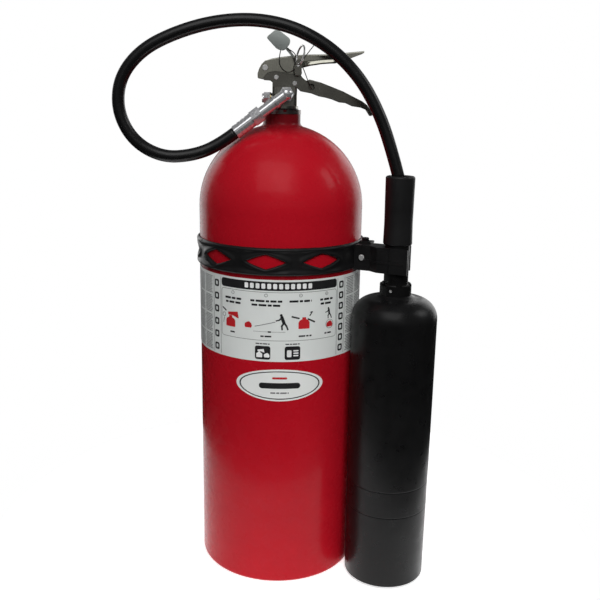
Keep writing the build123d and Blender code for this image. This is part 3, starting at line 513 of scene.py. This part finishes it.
def make_band():
    """The black band round the cylinder, with a cord along each rim and round each window."""
    rings, window = band_cell()
    count = len(rings[0])
    points, faces = [], []

    def place(turn, x, z, rise):
        angle = turn + x * MM / CYLINDER_R
        radius = CYLINDER_R + rise * MM
        points.append((radius * sin(angle), -radius * cos(angle), (BAND_MID + z) * MM))

    heights = [[band_height(x, z, window) for x, z in ring_points] for ring_points in rings]
    for index in range(WINDOWS):
        turn = radians(FIRST - PITCH * index)
        for layer in (0, 1):
            base = len(points)
            for ring_points, rises in zip(rings, heights):
                for (x, z), rise in zip(ring_points, rises):
                    place(turn, x, z, rise if layer else BAND_BACK)
            for row in range(len(rings) - 1):
                for step in range(count):
                    a, b = base + row * count + step, base + row * count + (step + 1) % count
                    quad = (a, b, b + count, a + count)
                    faces.append(quad[::-1] if layer else quad)
        outer, inner = base, base - len(rings) * count
        last = (len(rings) - 1) * count
        for step in range(count):
            after = (step + 1) % count
            faces.append((inner + step, inner + after, outer + after, outer + step))
            z0, z1 = rings[-1][step][1], rings[-1][after][1]
            if abs(z0 - z1) < 1e-6:
                top, foot = outer + last, inner + last
                faces.append((top + step, top + after, foot + after, foot + step))
    zs = sorted({round(z, 6) for x, z in rings[-1] if abs(abs(x) - abs(rings[-1][0][0])) < 1e-6})
    start = radians(FIRST + PITCH / 2)
    end = radians(FIRST - PITCH * (WINDOWS - 0.5) + 360)
    rows = []
    for layer in (0, 1):
        rows.append([])
        for step in range(JOINT_STEPS + 1):
            rows[-1].append([])
            for z in zs:
                rise = band_height(0, z, None) if layer else BAND_BACK
                rows[-1][-1].append(len(points))
                place(start + (end - start) * step / JOINT_STEPS, 0, z, rise)
    for step in range(JOINT_STEPS):
        for row in range(len(zs) - 1):
            for layer in (0, 1):
                grid = rows[layer]
                quad = (grid[step][row], grid[step + 1][row], grid[step + 1][row + 1], grid[step][row + 1])
                faces.append(quad if layer else quad[::-1])
        for row in (0, len(zs) - 1):
            under, over = rows
            faces.append((under[step][row], under[step + 1][row], over[step + 1][row], over[step][row]))
    band = new_object("clamp_band_moulding", points, faces)
    mesh = bmesh.new()
    mesh.from_mesh(band.data)
    bmesh.ops.remove_doubles(mesh, verts=mesh.verts[:], dist=WELD * MM)
    bmesh.ops.recalc_face_normals(mesh, faces=mesh.faces[:])
    mesh.to_mesh(band.data)
    mesh.free()
    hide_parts("clamp_band")
    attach(band, "base")
    band.data.materials.append(MATERIALS["band_plastic"])


# Horn ---------------------------------------------------------------------------------------------
def lathe(name, profile, around):
    """A closed profile of (radius, z) in mm, turned round the horn's axis."""
    points, faces = [], []
    count = len(profile)
    for step in range(around):
        angle = 2 * pi * step / around
        for radius, z in profile:
            points.append(HORN_AXIS + Vector((radius * MM * cos(angle), radius * MM * sin(angle), z * MM)))
    for step in range(around):
        here, after = step * count, (step + 1) % around * count
        for index in range(count):
            following = (index + 1) % count
            faces.append((here + index, here + following, after + following, after + index))
    return new_object(name, points, faces)


def arc(centre, radius, start, end, steps):
    """Points along an arc, from one angle to another in degrees."""
    return [
        (centre[0] + radius * cos(radians(start + (end - start) * i / steps)),
         centre[1] + radius * sin(radians(start + (end - start) * i / steps)))
        for i in range(steps + 1)
    ]


HORN_LOW, HORN_TOP = 3.5, 371.0
MOULD_LINES = (99.0, 133.0)
GROOVE = ((0, -12), (0.01, -1.2), (0.02, -0.6), (-0.3, -0.15), (-0.2, 0.2), (0.1, 0.6), (0.11, 1.3))


def make_horn():
    """The moulded horn: straight walls with two fine mould lines, a full shoulder and an open mouth."""
    low, top = HORN_LOW, HORN_TOP
    profile = [(5.1, top), (5.1, top - 11)]
    profile += arc((24, top - 33), 24.2, 90, 0, 12)
    profile += [(48.2, 200), (47.5, 80), (47.4, low + 2)]
    profile += arc((48.9, low + 1.5), 1.5, 180, 360, 8)
    for z in MOULD_LINES:
        wall = 50.5 + (z - low) * 0.0029
        profile += [(wall + out, z + up) for out, up in GROOVE]
    profile += [(51.4, 160), (51.65, 250), (51.7, 330)]
    profile += arc((27.2, 342.5), 24.5, 0, 84, 18)
    profile += [(24, 368.2), (21, 369.4), (19.4, top)]
    horn = lathe("discharge_horn", profile, 128)
    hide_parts("horn")
    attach(horn, "horn")
    horn.data.materials.append(MATERIALS["horn_plastic"])


def make_spring():
    """The stem's return spring, a copy of the CAD spring with a mesh of its own, riding with the base."""
    cad = nodes["return_spring"]
    spring = bpy.data.objects.new("stem_return_spring", cad.data.copy())
    spring.matrix_world = cad.matrix_world
    bpy.context.scene.collection.objects.link(spring)
    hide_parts("return_spring")
    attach(spring, "base")
    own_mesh(spring)


# Lever flare --------------------------------------------------------------------------------------
FLARE_UPPER = [(22.8, 640.6), (34, 642.2), (48, 643.6), (60, 644.2), (70, 644.4)]
FLARE_LOWER = [(23.4, 634.4), (34, 637.1), (48, 639.3), (60, 640.3), (70, 642.2)]
FLARE_SECTION = ((0, 0), (0.35, 0.18), (0.7, 0.58), (0.92, 0.95), (1, 1.0), (1.04, 0.7), (0.98, 0))
LEVER_FACE = -12.75


def make_lever_flare():
    """The lower edge of each lever flange turns outwards, deepest beside the pin."""
    for side, name in ((1, "lever_flare_front"), (-1, "lever_flare_back")):
        points, faces = [], []
        count = len(FLARE_UPPER)
        for index, (upper, lower) in enumerate(zip(FLARE_UPPER, FLARE_LOWER)):
            depth = 2.2 * (1 - index / (count - 1)) ** 0.7 + 0.15
            top, foot = Vector(upper), Vector(lower)
            for share, out in FLARE_SECTION:
                place = top.lerp(foot, share)
                points.append((place.x * MM, side * (LEVER_FACE - depth * out) * MM, place.y * MM))
        around = len(points) // count
        for ring in range(count - 1):
            for step in range(around):
                a, b = ring * around + step, ring * around + (step + 1) % around
                faces.append((a, b, b + around, a + around))
        faces.append(tuple(range(around))[::-1])
        faces.append(tuple(range((count - 1) * around, count * around)))
        flare = new_object(name, points, faces)
        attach(flare, "lever")
        flare.data.materials.append(MATERIALS["polished_steel"])


# Tamper seal --------------------------------------------------------------------------------------
SEAL_Y = -14.6
TAG_CORNERS = [
    (-19.5, 667.0), (-8.5, 676.0), (-3.5, 674.6), (9.0, 665.6), (8.6, 659.8), (1.6, 652.0),
    (-6.4, 653.6),
]
TAG_STEM = [(1.2, 656.5), (6.6, 656.0), (14.6, 645.6), (12.6, 643.8)]
WIRE_LOOPS = [
    [(-2, -15, 654), (-4.6, -16, 643), (-2.6, -16.4, 634), (3.6, -16.6, 628), (11, -17.5, 628),
     (17.2, -20, 634)],
    [(5, -15.2, 655), (12, -17, 652), (17, -19, 645), (12.5, -19, 632), (14.7, -18, 623.5),
     (19.4, -18, 624.5), (20.6, -19, 630), (15.6, -20, 636), (12, -18, 646)],
    [(12.6, -15.2, 645), (17, -18, 642), (24, -21, 634), (29, -17.5, 622), (33, -13.2, 612),
     (35.5, -9.2, 609)],
    [(14, -15.5, 643), (19.4, -18.9, 637), (26, -18.5, 645), (38.5, -17, 661)],
]


WIRE_R = 0.55


def rounded_corners(corners, radius, steps=5):
    """A closed outline with each corner turned into a small arc of points."""
    outline = []
    for index, corner in enumerate(corners):
        here = Vector(corner)
        arms = [Vector(corners[index - 1]) - here, Vector(corners[(index + 1) % len(corners)]) - here]
        reach = min(radius, 0.45 * arms[0].length, 0.45 * arms[1].length)
        first, last = (here + arm.normalized() * reach for arm in arms)
        for step in range(steps + 1):
            t = step / steps
            outline.append(first * (1 - t) ** 2 + here * 2 * t * (1 - t) + last * t**2)
    return outline


def plate(name, outline, y, half):
    """A flat plate from an outline of (x, z) in mm, with softened rims."""
    centre = sum(outline, Vector((0, 0))) / len(outline)
    points, faces = [], []
    count = len(outline)
    for depth, shrink in ((-half, 0.96), (-half * 0.4, 1), (half * 0.4, 1), (half, 0.96)):
        for corner in outline:
            place = centre + (corner - centre) * shrink
            points.append((place.x * MM, (y + depth) * MM, place.y * MM))
    for layer in range(3):
        for index in range(count):
            a, b = layer * count + index, layer * count + (index + 1) % count
            faces.append((a, b, b + count, a + count))
    faces.append(tuple(range(count))[::-1])
    faces.append(tuple(range(3 * count, 4 * count)))
    return new_object(name, points, faces, smooth=False)


def make_seal():
    """The seal's plastic tag and its thin steel wire, looped over the lever and through the handle."""
    tag = plate("seal_tag", rounded_corners(TAG_CORNERS, 3.2), SEAL_Y, 0.8)
    stem = plate("seal_stem", rounded_corners(TAG_STEM, 1.0), SEAL_Y, 0.7)
    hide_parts("tamper_seal")
    for piece in (tag, stem):
        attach(piece, "pin")
        piece.data.materials.append(MATERIALS["seal_plastic"])
    for number, loop in enumerate(WIRE_LOOPS):
        path = spline_points([Vector(place) * MM for place in loop])
        wire = tube(f"seal_wire_{number + 1}", path, WIRE_R * MM, 12)
        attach(wire, "pin")
        wire.data.materials.append(MATERIALS["seal_wire"])


# Materials ----------------------------------------------------------------------------------------
PAINTED_SHADOW_UNDER_BAND = (0.391, 0.396, 0.403)  # painted shadow of the band on the paint below it: heights where it starts, is darkest, and ends
PAINTED_SHADE_AT_NECK = (0.555, 0.568)  # painted shade of the valve and outlet tube round the neck: heights where it starts, and is darkest
ROLLED_EDGE = 0.7


class Paint:
    """Builds one node material: colour variation, roughness variation and bump."""

    def __init__(self, name, **uniform):
        self.material = bpy.data.materials.new(name)
        self.material.use_nodes = True
        self.tree = self.material.node_tree
        self.shader = self.tree.nodes["Principled BSDF"]
        for socket, value in uniform.items():
            self.shader.inputs[socket.replace("_", " ")].default_value = value
        self.place = self.tree.nodes.new("ShaderNodeTexCoord").outputs["Object"]

    def node(self, kind, **settings):
        made = self.tree.nodes.new("ShaderNode" + kind)
        for key, value in settings.items():
            setattr(made, key, value)
        return made

    def link(self, out, into):
        self.tree.links.new(out, into)

    def noise(self, scale, detail, rough=0.55, stretch=(1, 1, 1)):
        """Noise over the object, in features of about 1/scale metres."""
        mapping = self.node("Mapping")
        mapping.inputs["Scale"].default_value = stretch
        self.link(self.place, mapping.inputs["Vector"])
        texture = self.node("TexNoise")
        texture.inputs["Scale"].default_value = scale
        texture.inputs["Detail"].default_value = detail
        texture.inputs["Roughness"].default_value = rough
        self.link(mapping.outputs["Vector"], texture.inputs["Vector"])
        return texture.outputs["Fac"]

    def levels(self, value, low, high, out_low=0.0, out_high=1.0):
        """A value mapped from low..high to out_low..out_high, held at the ends."""
        mapped = self.node("MapRange")
        ends = {"From Min": low, "From Max": high, "To Min": out_low, "To Max": out_high}
        for socket, number in ends.items():
            mapped.inputs[socket].default_value = number
        self.link(value, mapped.inputs["Value"])
        return mapped.outputs["Result"]

    def mix(self, share, first, second):
        """Two colours, or a colour's output and a colour, mixed by a share."""
        mixer = self.node("Mix", data_type="RGBA")
        self.link(share, mixer.inputs["Factor"])
        for socket, colour in ((mixer.inputs[6], first), (mixer.inputs[7], second)):
            if isinstance(colour, tuple):
                socket.default_value = (*colour, 1)
            else:
                self.link(colour, socket)
        return mixer.outputs[2]

    def colour(self, value):
        self.link(value, self.shader.inputs["Base Color"])

    def roughness(self, value):
        self.link(value, self.shader.inputs["Roughness"])

    def bump(self, height, distance, strength):
        """Raise the surface by a height from 0 to 1, that many metres."""
        node = self.node("Bump")
        node.inputs["Strength"].default_value = strength
        node.inputs["Distance"].default_value = distance
        self.link(height, node.inputs["Height"])
        if self.shader.inputs["Normal"].is_linked:
            self.link(self.shader.inputs["Normal"].links[0].from_socket, node.inputs["Normal"])
        self.link(node.outputs["Normal"], self.shader.inputs["Normal"])


def red_enamel():
    """Glossy red paint, cloudy and finely pitted, with a painted shadow under the band and painted shade
    round the neck.
    """
    paint = Paint("red_enamel", Coat_Weight=0.08, Coat_Roughness=0.07, Specular_IOR_Level=0.11)
    cloudy = paint.levels(paint.noise(9, 3), 0.3, 0.7)
    base = paint.mix(cloudy, (0.45, 0.0065, 0.0155), (0.41, 0.0055, 0.0135))
    specks = paint.levels(paint.noise(520, 5, 0.6), 0.70, 0.8, 0, 0.22)
    speckled = paint.mix(specks, base, (0.60, 0.09, 0.08))
    heights = paint.node("SeparateXYZ")
    paint.link(paint.place, heights.inputs["Vector"])
    # painted shadow: the band's cast shade darkens the strip of paint just below it
    under_band = paint.levels(heights.outputs["Z"], PAINTED_SHADOW_UNDER_BAND[0], PAINTED_SHADOW_UNDER_BAND[1], 0, 0.6)
    above_band = paint.levels(heights.outputs["Z"], PAINTED_SHADOW_UNDER_BAND[1], PAINTED_SHADOW_UNDER_BAND[2], 0, 0.6)
    band_shadow_share = paint.node("Math", operation="SUBTRACT", use_clamp=True)
    paint.link(under_band, band_shadow_share.inputs[0])
    paint.link(above_band, band_shadow_share.inputs[1])
    band_shadowed = paint.mix(band_shadow_share.outputs["Value"], speckled, (0.06, 0.005, 0.007))
    # painted shade: the paint darkens from the neck's base upwards, standing in for the shadow of the valve
    # and tube
    neck_shade_share = paint.levels(heights.outputs["Z"], PAINTED_SHADE_AT_NECK[0], PAINTED_SHADE_AT_NECK[1], 0, 0.8)
    paint.colour(paint.mix(neck_shade_share, band_shadowed, (0.07, 0.005, 0.007)))
    paint.roughness(paint.levels(paint.noise(60, 5), 0.3, 0.75, 0.22, 0.34))
    paint.bump(paint.noise(330, 2, 0.4), 0.00005, 0.3)
    paint.bump(paint.noise(26, 2, 0.4), 0.0004, 0.1)
    return paint.material


def moulded_black(name, shade, rough, grain, scuff=0.03, shine=0.34):
    """Black rubber or plastic: cloudy, faintly scuffed and grained."""
    paint = Paint(name, Specular_IOR_Level=shine)
    cloudy = paint.levels(paint.noise(30, 4), 0.3, 0.7)
    dark = (shade, shade, shade * 1.04)
    light = (shade * 1.6, shade * 1.6, shade * 1.66)
    base = paint.mix(cloudy, dark, light)
    scratches = paint.levels(paint.noise(240, 8, 0.75, (1, 1, 0.12)), 0.68, 0.8, 0, 0.5)
    paint.colour(paint.mix(scratches, base, (shade + scuff, shade + scuff, shade + scuff)))
    paint.roughness(paint.levels(paint.noise(75, 6), 0.3, 0.75, rough - 0.07, rough + 0.09))
    paint.bump(paint.noise(1400, 3, 0.6), 0.00006, grain)
    return paint.material


def metal(name, colour, rough, speckle, stretch=(1, 1, 1), grain=0.2, scale=900, dull=0.6, metallic=1.0):
    """Plated or bare metal: cloudy shade, a few dull specks, fine directional wear."""
    paint = Paint(name, Metallic=metallic)
    cloudy = paint.levels(paint.noise(38, 4, 0.5), 0.3, 0.72)
    base = paint.mix(cloudy, colour, tuple(c * dull for c in colour))
    spots = paint.levels(paint.noise(420, 4, 0.6), 0.66, 0.8, 0, speckle)
    paint.colour(paint.mix(spots, base, (0.09, 0.085, 0.075)))
    paint.roughness(paint.levels(paint.noise(160, 6, 0.6, stretch), 0.3, 0.72, rough - 0.04, rough + 0.09))
    paint.bump(paint.noise(scale, 3, 0.5, stretch), 0.00003, grain)
    return paint.material


def foil(name, colour, dull, metallic=0.1):
    """Printed film: a faintly mottled pale face under a thin clear coat."""
    paint = Paint(name, Metallic=metallic, Coat_Weight=0.2, Coat_Roughness=0.2)
    cloudy = paint.levels(paint.noise(14, 4), 0.3, 0.7)
    paint.colour(paint.mix(cloudy, colour, tuple(c * dull for c in colour)))
    paint.roughness(paint.levels(paint.noise(120, 5), 0.3, 0.7, 0.34, 0.48))
    paint.bump(paint.noise(90, 3), 0.00012, 0.12)
    return paint.material


def ink(name, colour):
    """Matt printing ink, a little uneven."""
    paint = Paint(name, Specular_IOR_Level=0.25)
    cloudy = paint.levels(paint.noise(40, 4), 0.3, 0.7)
    paint.colour(paint.mix(cloudy, colour, tuple(min(1, c * 1.35 + 0.004) for c in colour)))
    paint.roughness(paint.levels(paint.noise(160, 4), 0.3, 0.7, 0.42, 0.58))
    paint.bump(paint.noise(300, 2), 0.00003, 0.1)
    return paint.material


MATERIALS = {
    "red_paint": red_enamel(),
    "bare_aluminium": metal("machined_aluminium", (0.24, 0.20, 0.19), 0.26, 0.2, (0.1, 0.1, 4)),
    "nickel_plate": metal("nickel_forging", (0.42, 0.41, 0.36), 0.2, 0.3, scale=500, grain=0.3),
    "bright_chrome": metal(
        "bright_chrome", (0.86, 0.86, 0.88), 0.1, 0.1, grain=0.08, dull=0.9, metallic=0.78,
    ),
    "lever_steel": metal(
        "plated_sheet_steel", (0.32, 0.31, 0.27), 0.2, 0.2, (6, 1, 1), grain=0.1, dull=0.72,
    ),
    "polished_steel": metal(
        "polished_sheet_steel", (0.56, 0.55, 0.47), 0.16, 0.12, (6, 1, 1), grain=0.1, dull=0.75,
    ),
    "steel_fastener": metal("zinc_steel", (0.8, 0.8, 0.79), 0.2, 0.15, grain=0.1, dull=0.8, metallic=0.6),
    "black_hardware": metal("black_oxide", (0.06, 0.06, 0.065), 0.35, 0.2, grain=0.2),
    "brass": metal("plain_brass", (0.72, 0.52, 0.23), 0.25, 0.2, grain=0.1),
    "black_rubber": moulded_black("hose_rubber", 0.0045, 0.26, 0.2, 0.02, 0.38),
    "grip_rubber": moulded_black("grip_rubber", 0.006, 0.46, 0.5, 0.02),
    "horn_plastic": moulded_black("horn_plastic", 0.004, 0.32, 0.15, 0.010, 0.22),
    "band_plastic": moulded_black("band_plastic", 0.0055, 0.38, 0.3, 0.02),
    "seal_plastic": foil("seal_plastic", (0.34, 0.37, 0.355), 0.92, 0.0),
    "label_silver": foil("label_foil", (0.78, 0.81, 0.79), 0.94, 0.0),
    "ink_black": ink("ink_black", (0.010, 0.010, 0.011)),
    "ink_white": ink("ink_white", (0.74, 0.75, 0.74)),
    "ink_red": ink("ink_red", (0.42, 0.012, 0.016)),
    "ink_grey": ink("ink_grey", (0.12, 0.125, 0.125)),
    "seal_wire": metal("seal_wire", (0.16, 0.155, 0.14), 0.3, 0.2, grain=0.1),
    "badge_silver": foil("badge_foil", (0.84, 0.86, 0.84), 0.95, 0.0),
}


for subpart in frame["record"]["subparts"]:
    cad = nodes[subpart["node"]]
    cad.data.materials.clear()
    cad.data.materials.append(MATERIALS[subpart["material_slot"]])
for name in ("carry_handle", "operating_lever"):
    rolled = nodes[name].modifiers.new("rolled_edges", "BEVEL")
    rolled.width = ROLLED_EDGE * MM
    rolled.segments = 3
    rolled.limit_method = "ANGLE"
    rolled.angle_limit = radians(50)
    rolled.harden_normals = True
hose.data.materials.append(MATERIALS["black_rubber"])
make_label_print()
make_badge_print()
make_band()
make_horn()
make_spring()
make_seal()
make_lever_flare()
nodes["operating_lever"].data.materials[0] = MATERIALS["polished_steel"]
nodes["pull_pin"].data.materials[0] = MATERIALS["lever_steel"]


# Stage --------------------------------------------------------------------------------------------
# Each panel: name, place, aim, width, height, watts, and whether it lights surfaces or is reflected.
PANELS = (
    ("key", (0.2, -2.2, 2.1), (0, 0, 0.3), 1.6, 1.6, 59, "light"),
    ("overhead", (-0.2, -0.7, 2.6), (0, 0, 0.4), 1.8, 1.8, 13, "light"),
    ("rear_fill", (0.3, 2.3, 1.9), (0, 0, 0.3), 1.6, 1.6, 24, "light"),
    ("left_wall", (-1.15, 1.45, 0.7), (0, 0, 0.4), 1.2, 1.4, 8, "reflection"),
    ("right_wall", (1.15, 1.45, 0.7), (0, 0, 0.4), 1.2, 1.4, 8, "reflection"),
    ("panel_front", (-0.4, -1.7, 2.3), (0, 0, 0.3), 2.0, 2.0, 19, "reflection"),
    ("panel_right", (2.0, -0.1, 1.7), (0, 0, 0.35), 0.9, 0.9, 7, "reflection"),
    ("panel_far", (0, -2.2, 0.80), (0, 0, 0.62), 3.0, 0.36, 0.8, "reflection"),
)
ROOM_HEIGHTS = (-0.12, 0.2)  # of the direction looked in: the room is darkest below, lightest above
ROOM_STRENGTHS = (0.015, 0.11)
FLOOR_R = 0.42
FLOOR_CENTRE = (0.02, 0.05)
FLOOR_SIDES = 96
FLOOR_GLOW = 0.61


def area_light(name, place, target, width, height, watts, part):
    """A soft panel that either lights the surfaces or only shows as a reflection in them."""
    data = bpy.data.lights.new(name, "AREA")
    data.shape = "RECTANGLE"
    data.size = width
    data.size_y = height
    data.energy = watts
    light = bpy.data.objects.new(name, data)
    light.visible_camera = False
    light.visible_glossy = part == "reflection"
    light.visible_diffuse = part == "light"
    aim = Vector(target) - Vector(place)
    light.matrix_world = Matrix.Translation(place) @ aim.to_track_quat("-Z", "Y").to_matrix().to_4x4()
    bpy.context.scene.collection.objects.link(light)


def studio_world():
    """A dim room, darker below the table, seen as plain white where nothing stands."""
    world = bpy.data.worlds.new("studio")
    world.use_nodes = True
    tree = world.node_tree
    room = tree.nodes["Background"]
    room.inputs["Color"].default_value = (0.97, 0.98, 1, 1)
    direction = tree.nodes.new("ShaderNodeTexCoord")
    split = tree.nodes.new("ShaderNodeSeparateXYZ")
    height = tree.nodes.new("ShaderNodeMapRange")
    for index, end in enumerate(("Min", "Max")):
        height.inputs["From " + end].default_value = ROOM_HEIGHTS[index]
        height.inputs["To " + end].default_value = ROOM_STRENGTHS[index]
    tree.links.new(direction.outputs["Generated"], split.inputs["Vector"])
    tree.links.new(split.outputs["Z"], height.inputs["Value"])
    tree.links.new(height.outputs["Result"], room.inputs["Strength"])
    backdrop = tree.nodes.new("ShaderNodeBackground")
    backdrop.inputs["Color"].default_value = (1, 1, 1, 1)
    backdrop.inputs["Strength"].default_value = 1.0
    mixer = tree.nodes.new("ShaderNodeMixShader")
    rays = tree.nodes.new("ShaderNodeLightPath")
    tree.links.new(rays.outputs["Is Camera Ray"], mixer.inputs["Fac"])
    tree.links.new(room.outputs["Background"], mixer.inputs[1])
    tree.links.new(backdrop.outputs["Background"], mixer.inputs[2])
    tree.links.new(mixer.outputs["Shader"], tree.nodes["World Output"].inputs["Surface"])
    bpy.context.scene.world = world


def make_floor():
    """A round white table top, lit a little from below."""
    angles = [2 * pi * i / FLOOR_SIDES for i in range(FLOOR_SIDES)]
    x, y = FLOOR_CENTRE
    rim = [(FLOOR_R * cos(angle) + x, FLOOR_R * sin(angle) + y, 0) for angle in angles]
    floor = new_object("floor", rim, [tuple(range(FLOOR_SIDES))])
    paint = Paint("floor_acrylic", Roughness=0.6, Specular_IOR_Level=0.2)
    paint.colour(paint.mix(paint.noise(3, 2), (0.86, 0.86, 0.86), (0.89, 0.89, 0.89)))
    paint.shader.inputs["Emission Color"].default_value = (1, 1, 1, 1)
    paint.shader.inputs["Emission Strength"].default_value = FLOOR_GLOW
    floor.data.materials.append(paint.material)


def make_stage():
    bpy.context.scene.view_settings.view_transform = "Standard"
    make_floor()
    studio_world()
    for panel in PANELS:
        area_light(*panel)


make_stage()
